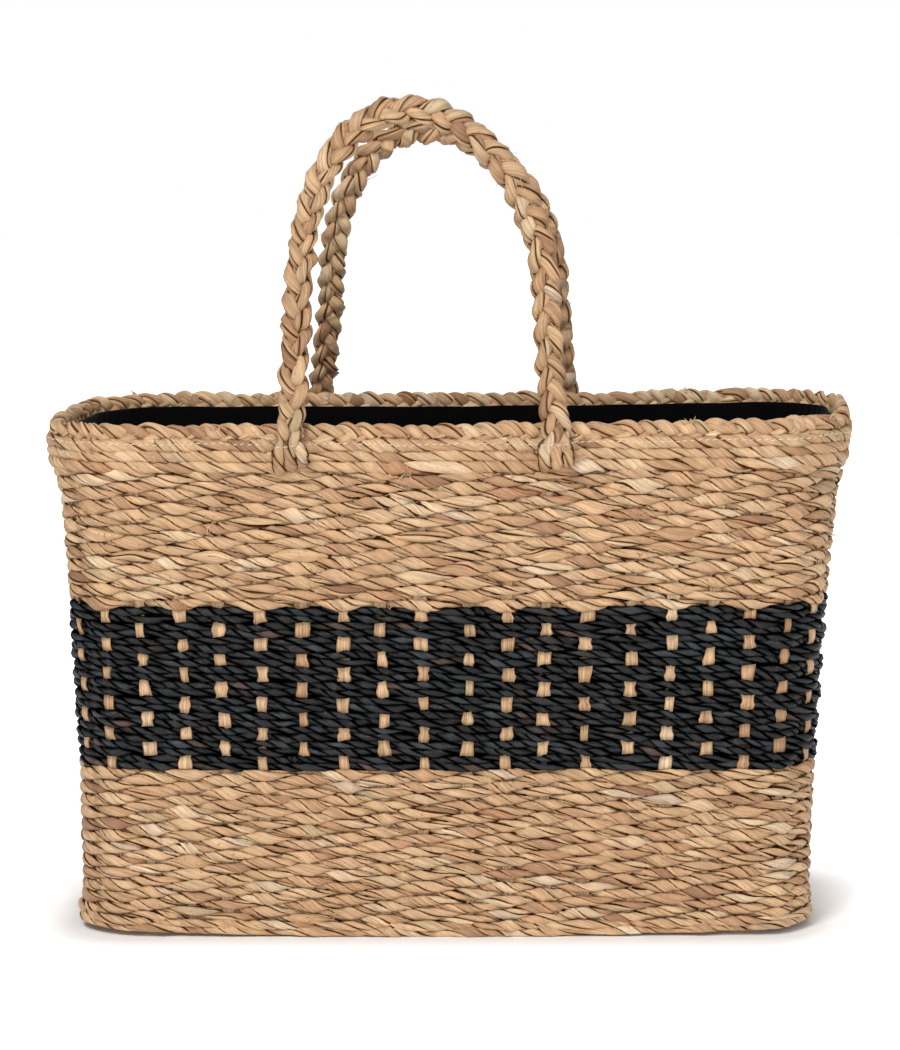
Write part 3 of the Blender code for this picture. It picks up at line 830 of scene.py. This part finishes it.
def make_base(material, rng):
    """The woven underside: rows of cord along the basket, over and under the cross stakes."""
    bundle = Bundle(columns=2)
    half_width, half_depth, radius = BASE_WIDTH / 2, BASE_DEPTH / 2, BASE_CORNER_RADIUS
    rows = 36
    blades = 60
    margin = 0.005
    half_height = 0.00165
    fibre_size = 0.0018
    pitch = (2 * half_depth - 2 * margin) / rows
    spacing = 2 * half_width / LONG_STAKES
    stakes_y = wall_points(np.arange(END_STAKES) + LONG_STAKES + 0.5, 0.0, -0.007)[:, 1]
    turn = corner_turns(8)
    for row in range(rows):
        y = -half_depth + margin + (row + 0.5) * pitch
        if np.abs(stakes_y - y).min() < 0.9 * pitch:
            continue
        past = max(abs(y) - (half_depth - radius), 0.0)
        end = half_width - radius + math.sqrt(radius**2 - past**2) - 0.0045
        x = np.arange(-end, end, 0.0033)
        wave = np.cos(math.pi * x / spacing + math.pi / 2 + math.pi * row)
        z = CROSS_STAKE_HEIGHT + 0.0020 * rounded_wave(wave, 0.8)
        twist = TURN * x / 0.034 + rng.uniform(0, TURN) + 0.5 * np.cos(x * 60 + rng.uniform(0, TURN))
        half_y = pitch * (0.55 + 0.28 * np.abs(wave))
        for angle in (twist, twist + math.pi):
            dy, dz, ring_r, ring_t = ply_outline(angle, BASE_PLY, turn)
            dy = half_y[:, None] * dy
            grid = np.stack([x[:, None] + 0 * dy, y + dy, z[:, None] + half_height * dz], axis=-1)
            piece = blade_number(angle) % blades
            along = (x + BLADE_APART * piece)[:, None]
            fibre = fibre_places(along, fibre_size * ring_r, fibre_size * ring_t, rng)
            tone = random_tones(rng, blades)[piece, None]
            kind = rng.uniform(0, 1, blades)[piece, None]
            # Painted shade where the two plies meet
            bundle.add(grid, fibre, tone, kind, groove_shade(turn, BASE_GROOVE))
    bundle.finish("base_weave_cords", material, "natural_seagrass", "base_weave")


# Handles

# For each handle: its inward direction along y, how far its middle is to the right, half the span of its
# legs, how far its bow leans to the left, and how far it tilts inward from upright in degrees
HANDLES = {"front": (1, -0.0111, 0.0715, 0.008, 8), "back": (-1, -0.0164, 0.0690, 0.010, 22)}
FOOT_HALF_SPAN = 0.0765
ROOT_HALF_SPAN = 0.0745
ROOT_HEIGHT = 0.012
LEG_HEIGHT = 0.0675
ARCH_HEIGHT = 0.111
PLAIT_CENTRE = 0.0075
PLAIT_CYCLE = 0.043
PLAIT_TWIST = 0.033
PLAIT_STEP = 0.0014
LANE_SPACING = 0.0067
FOOT_BELOW_RIM = (0.0255, 0.0240, 0.0210, 0.0150, 0.0090, 0.0020)
FOOT_OUT = (-0.0025, 0.0030, 0.0058, 0.0064, 0.0060, 0.0050)


def evenly_spaced(points, step):
    """The same line, smoothed, with points a fixed distance apart."""
    for _ in range(2):
        lengths = distances_along(points)
        stops = np.linspace(0, lengths[-1], int(lengths[-1] / step) + 1)
        points = np.stack([np.interp(stops, lengths, points[:, axis]) for axis in range(3)], axis=1)
        for _ in range(6):
            points[1:-1] = (points[:-2] + 2 * points[1:-1] + points[2:]) / 4
    return points, stops


def foot_places(which):
    """Stake counts of a handle's left and right foot."""
    shift = HANDLES[which][1]
    middle = LONG_STAKES / 2
    pitch = wall_points(middle + 1, HEIGHT, 0.0)[0] - wall_points(middle, HEIGHT, 0.0)[0]
    steps = [(shift + side * FOOT_HALF_SPAN) / pitch for side in (-1, 1)]
    if which == "front":
        return [middle + step for step in steps]
    return [STAKES / 2 + middle - step for step in steps]


def plait_line(which):
    """Middle line of a handle from foot to foot, its distances, and the directions along and sideways."""
    inward, _, span, lean, tilt = HANDLES[which]
    foot_z = HEIGHT - np.array(FOOT_BELOW_RIM)
    first, last = (wall_points(place, foot_z, np.array(FOOT_OUT)) for place in foot_places(which))
    turn = Matrix.Rotation(-inward * math.radians(tilt), 3, "X")
    angles = np.linspace(math.pi, 0, 60)
    bow = span * np.cos(angles) - lean * np.sin(angles) ** 2
    across = np.concatenate([[-ROOT_HALF_SPAN], bow, [ROOT_HALF_SPAN]])
    up = np.concatenate([[ROOT_HEIGHT], LEG_HEIGHT + ARCH_HEIGHT * np.sin(angles), [ROOT_HEIGHT]])
    arch = np.stack([across, np.full(len(up), inward * PLAIT_CENTRE), up], axis=1)
    arch = arch @ np.array(turn).T + np.array(JOINTS[f"{which}_handle_swing"]["pos_m"])
    points, distances = evenly_spaced(np.vstack([first, arch, last[::-1]]), PLAIT_STEP)
    tangent = unit(np.gradient(points, axis=0))
    plane_out = np.array(turn @ Vector((0, -inward, 0)))
    return points, distances, tangent, unit(np.cross(tangent, plane_out))


def strand_lanes(theta):
    """Which of a foot's three lanes each strand runs in: -1, 0 or 1, as they leave the plait."""
    order = np.argsort([math.sin(theta + TURN * strand / 3) for strand in range(3)])
    lanes = np.empty(3)
    lanes[order] = (-1, 0, 1)
    return lanes


def make_handle(which, material, rng):
    """Three strands of two blades each, plaited, fanned out at both ends and tucked into the wall."""
    centre, distance, tangent, sideways = plait_line(which)
    outward = unit(np.cross(sideways, tangent))
    total = distance[-1]

    def stray(slowest, fastest):
        return wander(slowest, fastest, rng, distance, total)

    from_end = np.minimum(distance, total - distance)
    near_start = distance < total / 2
    towards_middle = np.where(near_start, 1, -1)
    fanned = 1 - smooth_step((from_end - 0.014) / 0.017)
    rounded = np.sqrt(1 - np.clip(1 - from_end / 0.005, 0, 0.98) ** 2)
    theta = TURN * distance / PLAIT_CYCLE + 0.45 * stray(2, 12)
    start_lanes, end_lanes = (strand_lanes(theta[ring]) for ring in (24, -25))
    bundle = Bundle()
    for strand in range(3):
        phase = theta + TURN * strand / 3
        lane = np.where(near_start, start_lanes[strand], end_lanes[strand])
        size = 1 + 0.10 * stray(4, 40)
        sway = blend(0.0049 * size * np.sin(phase), LANE_SPACING * lane, fanned)
        resting = 0.0007 * np.cos(3 * phase) + 0.0006 * (lane == 0)
        lift = blend(0.0028 * size * np.sin(2 * phase), resting, fanned)
        shorter = rng.uniform(0.0, 0.0025) * (1 - smooth_step(from_end / 0.012)) * towards_middle
        path = centre + sideways * sway[:, None] + outward * lift[:, None] + tangent * shorter[:, None]
        along = unit(np.gradient(path, axis=0))
        roll = (0.30 * np.cos(phase) * (1 - fanned) + 0.15 * stray(5, 20))[:, None]
        flat = unit(sideways - along * (sideways * along).sum(axis=1)[:, None])
        face = np.cross(flat, along)
        strand_side = flat * np.cos(roll) + face * np.sin(roll)
        strand_face = face * np.cos(roll) - flat * np.sin(roll)
        half_side = 0.0037 * rounded * (1 + 0.14 * stray(8, 50))
        half_face = 0.0025 * rounded * (1 + 0.08 * stray(8, 50))
        twist = TURN * distance / PLAIT_TWIST + rng.uniform(0, TURN) + 0.9 * stray(2, 14)
        # At the feet the plait's inner painted shade is lifted off, and painted shade outlines the strands'
        # sides (lying)
        add_strand(bundle, path, strand_side, strand_face, half_side, half_face, twist, distance, sway,
                   blend(lift, 0.004, fanned), 0.0058, rng, lying=0.9 * fanned[:, None])
    add_ends(bundle, centre, sideways, outward, rng)
    piece = bundle.build(f"{which}_handle_plait", material)
    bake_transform(piece)
    feet = [f"{which}_{side}_foot" for side in ("left", "right")]
    strands = [f"{which}_handle_strand_{letter}" for letter in "abc"]
    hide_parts(*feet, *strands)
    return piece


def add_ends(bundle, centre, sideways, outward, rng):
    """A few loose ends of blade that stand off a plait."""
    for _ in range(16):
        at = int(rng.integers(30, len(centre) - 30))
        angle = rng.uniform(0, TURN)
        away = sideways[at] * math.cos(angle) + outward[at] * math.sin(angle) * 0.5
        root = centre[at] + away * 0.0075
        along = unit(centre[at + 1] - centre[at]) * rng.choice((-1, 1))
        length = rng.uniform(0.003, 0.008)
        add_fibre(bundle, root, along + away * rng.uniform(0.3, 0.9), away, length,
                  rng.uniform(0.00018, 0.0006), rng)


def add_fibre(bundle, root, direction, bend, length, radius, rng):
    """One thin tapered fibre that starts at root and curves towards bend."""
    direction = unit(direction)
    share = np.linspace(0, 1, 7)[:, None]
    line = root + direction * length * share + bend * length * 0.35 * share**2
    turn = corner_turns(6)
    side = unit(np.cross(direction, bend + np.array([0.11, 0.23, 0.31])))
    other = unit(np.cross(direction, side))
    taper = radius * (1 - 0.75 * share)
    grid = (line[:, None] + side * (taper * np.cos(turn))[..., None]
            + other * (taper * 0.55 * np.sin(turn))[..., None])
    fibre = fibre_places(length * share, taper * np.cos(turn), taper * np.sin(turn), rng)
    bundle.add(grid, fibre, rng.uniform(0.2, 1.0), rng.uniform(0, 1))


# Lining, thread and loose fibres

SEAM_HEIGHT = HEIGHT - 0.0112
LINING_TOP = HEIGHT - 0.015
LINING_BOTTOM = 0.0085
LINING_OUT = -0.0088
CLOTH_THICKNESS = 0.0008
HEM_MIDDLE = HEIGHT - 0.016
HEM_HALF_HEIGHT = 0.0085
HEM_OUT = -0.0108
STITCHES = 280
THREAD_RADIUS = 0.00028
KNOTS = 44

# Frayed tufts by the rim: stake count, and distance below the rim's height
TUFTS = ((3.7, 0.0035), (14.7, 0.002), (15.6, 0.0035), (18.2, 0.003), (27.6, 0.0015), (41.3, 0.002),
         (11.0, 0.017), (5.1, 0.021), (0.8, 0.016))


def wrinkles(k, z, seed, size):
    """Soft, mostly upright folds of the hanging cloth."""
    rng = np.random.default_rng(seed)
    total = 0.0
    for wave in (7, 11, 16, 23, 31):
        lean = rng.uniform(-25, 25)
        total = total + np.cos(TURN * wave * k / STAKES + lean * z + rng.uniform(0, TURN)) / wave**0.5
    return size * total


def ring_sheet(z, out, shift, steps):
    """A closed band of cloth: the profile goes down its outer face and up its inner face."""
    k = (np.arange(steps) / steps * STAKES)[:, None]
    shift_out, shift_z = shift(k, z[None])
    grid = wall_points(k, z[None] + shift_z, out[None] + shift_out)
    bundle = Bundle()
    fibre = np.stack(np.broadcast_arrays(k * STAKE_PITCH, z[None] + shift_z, 0.0), axis=-1)
    bundle.add(grid, fibre, closed=True)
    return bundle


def make_lining_sides(material):
    def hang(k, z):
        slack = smooth_step((LINING_TOP - z) / 0.05) * smooth_step((z - 0.008) / 0.02)
        return slack * (wrinkles(k, z, 41, 0.0011) - 0.0018), 0.0

    steps = 60
    down = np.linspace(LINING_TOP, LINING_BOTTOM, steps)
    out = np.repeat((LINING_OUT, LINING_OUT - CLOTH_THICKNESS), steps)
    sheet = ring_sheet(np.concatenate([down, down[::-1]]), out, hang, 768)
    sheet.finish("lining_sides_cloth", material, "lining_cloth", "lining_sides")


def make_lining_hem(material):
    """The folded hem. The seam pinches it a little at each stitch."""
    def pucker(k, z):
        pinch = np.cos(TURN * k * 3.5) * np.exp(-((z - SEAM_HEIGHT) / 0.004) ** 2)
        return 0.00022 * pinch, wrinkles(k, z, 43, 0.0004)

    angle = np.linspace(-0.5 * math.pi, 0.5 * math.pi, 9)
    up = HEM_MIDDLE + HEM_HALF_HEIGHT * np.sin(angle)
    down = HEM_MIDDLE + HEM_HALF_HEIGHT * np.sin(angle)[::-1]
    out = np.concatenate([HEM_OUT + 0.0001 * np.cos(angle), HEM_OUT - 0.0009 - 0.0007 * np.cos(angle)])
    sheet = ring_sheet(np.concatenate([down, up]), out, pucker, 1536)
    sheet.finish("lining_hem_cloth", material, "lining_cloth", "lining_hem")


def make_lining_bottom(material, rng):
    """The flat bottom, with slight ripples that die out towards its front and back seams."""
    k = np.interp(np.linspace(-1, 1, 90), (-1, 1), (0, LONG_STAKES))
    opposite = STAKES / 2 + LONG_STAKES - k
    front, back = (wall_points(places, 0.010, LINING_OUT - 0.0010) for places in (k, opposite))
    share = np.linspace(0, 1, 40)
    top = blend(front[:, None], back[:, None], share[None, :, None])
    x, y = top[..., 0], top[..., 1]
    ripple = 0.00025 * sum(np.cos(x * rng.uniform(20, 90) + y * rng.uniform(-90, 90) + rng.uniform(0, 6))
                           for _ in range(6))
    held = np.minimum(smooth_step(share / 0.1), smooth_step((1 - share) / 0.1))
    top[..., 2] = 0.0083 + 0.0006 + np.abs(ripple) * held
    under = top[:, ::-1] - np.array([0.0, 0.0, 0.0007])
    grid = np.concatenate([top, under], axis=1)
    bundle = Bundle()
    bundle.add(grid, grid * np.array([1.0, 1.0, 0.0]))
    bundle.finish("lining_bottom_cloth", material, "lining_cloth", "lining_bottom")


def surface_tree(pieces):
    """The pieces' faces in one tree for finding where a ray meets them."""
    points, faces = [], []
    start = 0
    for piece in pieces:
        mesh = piece.data
        co = np.empty(len(mesh.vertices) * 3)
        mesh.vertices.foreach_get("co", co)
        index = np.empty(len(mesh.loops), dtype=np.int64)
        mesh.loops.foreach_get("vertex_index", index)
        points.append(co.reshape(-1, 3))
        faces.append(index.reshape(-1, 4) + start)
        start += len(mesh.vertices)
    return BVHTree.FromPolygons(np.vstack(points).tolist(), np.vstack(faces).tolist())


def on_surface(tree, k, z):
    """The outermost point of the weave at this place along the wall, and the direction outward."""
    here, there = wall_points(k, z, np.array([0.030, 0.0]))
    ray = Vector(there - here).normalized()
    hit = tree.ray_cast(Vector(here), ray, 0.05)[0]
    return (np.array(hit) if hit else there), -np.array(ray)


def add_thread(bundle, line, rng):
    """A short piece of thread along a line of points."""
    tangent = unit(np.gradient(line, axis=0))
    up = unit(np.cross(tangent, np.array([0.13, 0.31, 0.94])))
    other = np.cross(tangent, up)
    turn = corner_turns(6)
    first, second = np.cos(turn)[:, None], np.sin(turn)[:, None]
    grid = line[:, None] + THREAD_RADIUS * (up[:, None] * first + other[:, None] * second)
    length = np.linspace(0, 0.004, len(line))[:, None]
    fibre = fibre_places(length, THREAD_RADIUS * np.cos(turn), THREAD_RADIUS * np.sin(turn), rng)
    bundle.add(grid, fibre)


def make_stitches(pieces, material, rng):
    """The seam round the outside of the rim, in short stitches."""
    tree = surface_tree(pieces)
    bundle = Bundle(columns=10)
    for index in range(STITCHES):
        start = (index + rng.uniform(-0.08, 0.08)) / STITCHES * STAKES
        z = SEAM_HEIGHT + 0.0005 * math.sin(index * 0.37) + rng.uniform(-0.0003, 0.0003)
        length = STAKES / STITCHES * rng.uniform(0.56, 0.70)
        line = []
        for share in np.linspace(0, 1, 7):
            point, out = on_surface(tree, start + length * share, z + 0.0004 * share)
            line.append(point + out * (0.0003 if 0 < share < 1 else -0.0008))
        line = np.array(line)
        line[1:-1] = line[:-2] * 0.2 + line[1:-1] * 0.6 + line[2:] * 0.2
        add_thread(bundle, line, rng)
    bundle.finish("rim_seam_stitches", material, "sewing_thread", "rim_seam_thread")


def make_loose_fibres(pieces, material, rng):
    """Broken fibres that stand off the weave, frayed tufts by the rim, and small frayed knots in it."""
    tree = surface_tree(pieces)
    bundle = Bundle(columns=16)
    uniform = rng.uniform

    def upward(low, high):
        return np.array([0, 0, uniform(low, high)])

    zones = ((BORDER_TOP, BLACK_BOTTOM), (BLACK_TOP, UPPER_TOP), (UPPER_TOP, RIM_TOP))
    for zone, count in zip(zones, (100, 120, 120)):
        for _ in range(count):
            k = uniform(0, STAKES)
            z = uniform(*zone)
            root, out = on_surface(tree, k, z)
            along = unit(on_surface(tree, k + 0.1, z)[0] - root) * rng.choice((-1, 1)) + upward(-0.5, 0.5)
            aim = unit(along) + out * uniform(0.1, 0.45)
            add_fibre(bundle, root - out * 0.0006, aim, out, uniform(0.003, 0.009),
                      uniform(0.00014, 0.0004), rng)
    for k, below in TUFTS:
        z = HEIGHT - below
        root, out = on_surface(tree, k, z)
        along = unit(on_surface(tree, k + 0.1, z)[0] - root)
        for _ in range(6):
            aim = along * uniform(-1.1, 1.1) + upward(0.2, 1.0) + out * uniform(0.1, 0.7)
            spot = root + along * uniform(-0.003, 0.003) - out * 0.0008
            add_fibre(bundle, spot, aim, out, uniform(0.003, 0.0065), uniform(0.0003, 0.0009), rng)
    for _ in range(KNOTS):
        k = uniform(0, STAKES)
        z = uniform(*zones[rng.integers(0, 2)])
        for _ in range(8):
            root, out = on_surface(tree, k + uniform(-0.12, 0.12), z + uniform(-0.0025, 0.0025))
            along = unit(on_surface(tree, k + 0.3, z)[0] - root)
            aim = along * uniform(-1.0, 1.0) + upward(-0.8, 0.8) + out * 0.25
            add_fibre(bundle, root - out * 0.0004, aim, out * uniform(-0.2, 0.6), uniform(0.002, 0.006),
                      uniform(0.0002, 0.0007), rng)
    piece = bundle.build("loose_fibres", material)
    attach(piece, "basket")


def make_basket():
    natural = natural_material("natural_seagrass_cord", 1.0, 0.24)
    stake = natural_material("natural_seagrass_stake", 1.08, 0.48)
    plait = natural_material("natural_seagrass_plait", 0.92, 0.24)
    black = black_material("black_seagrass_cord")
    cloth = cloth_material("black_lining_cotton")
    rngs = [np.random.default_rng(seed) for seed in range(21, 33)]
    make_natural_rows("lower_weave", BORDER_TOP, BLACK_BOTTOM, 0, LOWER_ROWS, natural, rngs[0])
    make_natural_rows("upper_weave", BLACK_TOP, UPPER_TOP, UPPER_FIRST_ROW, UPPER_ROWS, natural, rngs[1])
    make_black_rows(black, rngs[2])
    ropes = make_rim_ropes(natural, rngs[3])
    braid = make_rim_braid(natural, rngs[4])
    make_border_rope(natural, rngs[5])
    make_stakes(stake, rngs[6])
    make_base(natural, rngs[7])
    front = make_handle("front", plait, rngs[8])
    back = make_handle("back", plait, rngs[9])
    make_lining_sides(cloth)
    make_lining_hem(cloth)
    make_lining_bottom(cloth, np.random.default_rng(44))
    weave = [item for item in bpy.data.objects if item.name.startswith(("upper_weave_", "lower_weave_"))]
    make_stitches([ropes, braid, front, back], thread_material("cream_sewing_thread"), rngs[10])
    make_loose_fibres([ropes, braid] + weave, natural, rngs[11])


# Studio

WHITE = (1.0, 1.0, 1.0, 1.0)
FLOOR_HALF_SIZE = 8.0
SHADOW_INSET = 0.03            # distances on the floor are measured from this far inside the base's edge
SHADOW_START = 0.038
SHADOW_END = 0.11
FLOOR_GLOW = 0.34
WORLD_GLOW = 0.33
AIM_HEIGHT = 0.2

# Name, place, size and power of each lamp
LAMPS = (("key_lamp", (-0.9, -1.7, 2.2), 0.9, 46.0), ("fill_lamp", (1.7, -1.9, 0.9), 1.4, 13.0),
         ("front_lamp", (0.0, -2.6, 1.3), 1.2, 13.0), ("back_lamp", (0.5, 1.9, 2.0), 1.2, 17.0))


def link(name, data):
    made = bpy.data.objects.new(name, data)
    bpy.context.collection.objects.link(made)
    return made


def looking_at(place, target):
    return (Vector(target) - Vector(place)).to_track_quat("-Z", "Y").to_euler()


def floor_material():
    """Painted light: glows white to the camera, hiding shadows on the floor except close to the basket, and
    glows at FLOOR_GLOW to other rays, lighting the basket from below.
    """
    floor = Nodes("studio_floor")
    position = floor.add("ShaderNodeNewGeometry").outputs["Position"]
    place = floor.add("ShaderNodeSeparateXYZ", {"Vector": position})
    squares = []
    for axis, size in (("X", BASE_WIDTH), ("Y", BASE_DEPTH)):
        distance = floor.maths("ABSOLUTE", place.outputs[axis])
        distance = floor.maths("SUBTRACT", distance, size / 2 - SHADOW_INSET)
        squares.append(floor.maths("POWER", floor.maths("MAXIMUM", distance), 2.0))
    away = floor.maths("SQRT", floor.maths("ADD", *squares))
    glow = floor.add("ShaderNodeMapRange", {"Value": away, "From Min": SHADOW_START, "From Max": SHADOW_END})
    floor.surface({"Base Color": (0.93, 0.93, 0.93, 1.0), "Roughness": 0.9, "Emission Color": WHITE,
                   "Emission Strength": floor.for_camera(FLOOR_GLOW, glow.outputs["Result"])})
    return floor.owner


def make_studio():
    """A pale floor, a white surround and large soft lamps."""
    size = FLOOR_HALF_SIZE
    mesh = bpy.data.meshes.new("floor")
    mesh.from_pydata([(-size, -size, 0), (size, -size, 0), (size, size, 0), (-size, size, 0)], [],
                     [(0, 1, 2, 3)])
    mesh.materials.append(floor_material())
    link("floor", mesh)

    world = Nodes("studio", world=True)
    world.surface({"Color": WHITE, "Strength": world.for_camera(WORLD_GLOW, 1.0)})
    bpy.context.scene.world = world.owner

    for name, place, size, power in LAMPS:
        data = bpy.data.lights.new(name, "AREA")
        data.size = size
        data.energy = power
        lamp = link(name, data)
        lamp.location = place
        lamp.rotation_euler = looking_at(place, (0, 0, AIM_HEIGHT))


def make_camera():
    """Level with the tops of the handles, two metres in front."""
    data = bpy.data.cameras.new("camera")
    data.sensor_width = 36.0
    data.lens = 120.4
    camera = link("camera", data)
    camera.location = (-0.0155, -2.1, 0.516)
    camera.rotation_euler = looking_at(camera.location, (0.0025, 0, 0.2350))
    bpy.context.scene.camera = camera
    bpy.context.scene.view_settings.view_transform = "Standard"


make_basket()
make_studio()
make_camera()
